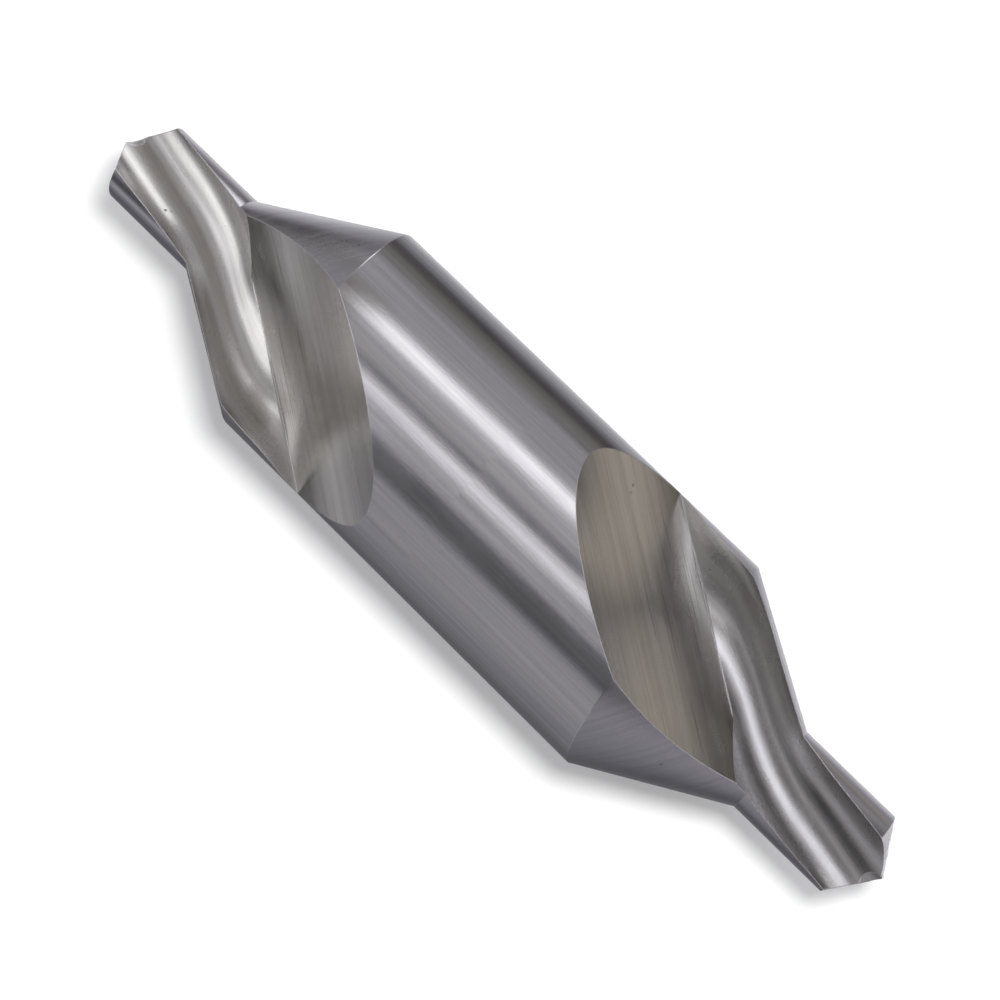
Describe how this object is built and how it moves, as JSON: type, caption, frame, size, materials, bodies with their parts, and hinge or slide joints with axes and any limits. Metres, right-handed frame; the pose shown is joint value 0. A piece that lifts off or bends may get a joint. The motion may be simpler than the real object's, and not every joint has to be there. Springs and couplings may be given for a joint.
{
  "type": "centre drill",
  "caption": "Double-ended centre drill: cylindrical shank with a fluted countersink cone and a short fluted pilot drill at each end.",
  "frame": {"origin": "middle of the drill, on its axis", "axes": "+X along the drill's axis towards one point, +Z the way one flute of each end opens, +Y completes the right-handed set"},
  "size_m": [0.08, 0.02, 0.02],
  "materials": {
    "ground_steel": "ground"
  },
  "bodies": {
    "root": {"centre_drill": "ground_steel"}
  },
  "joints": []
}
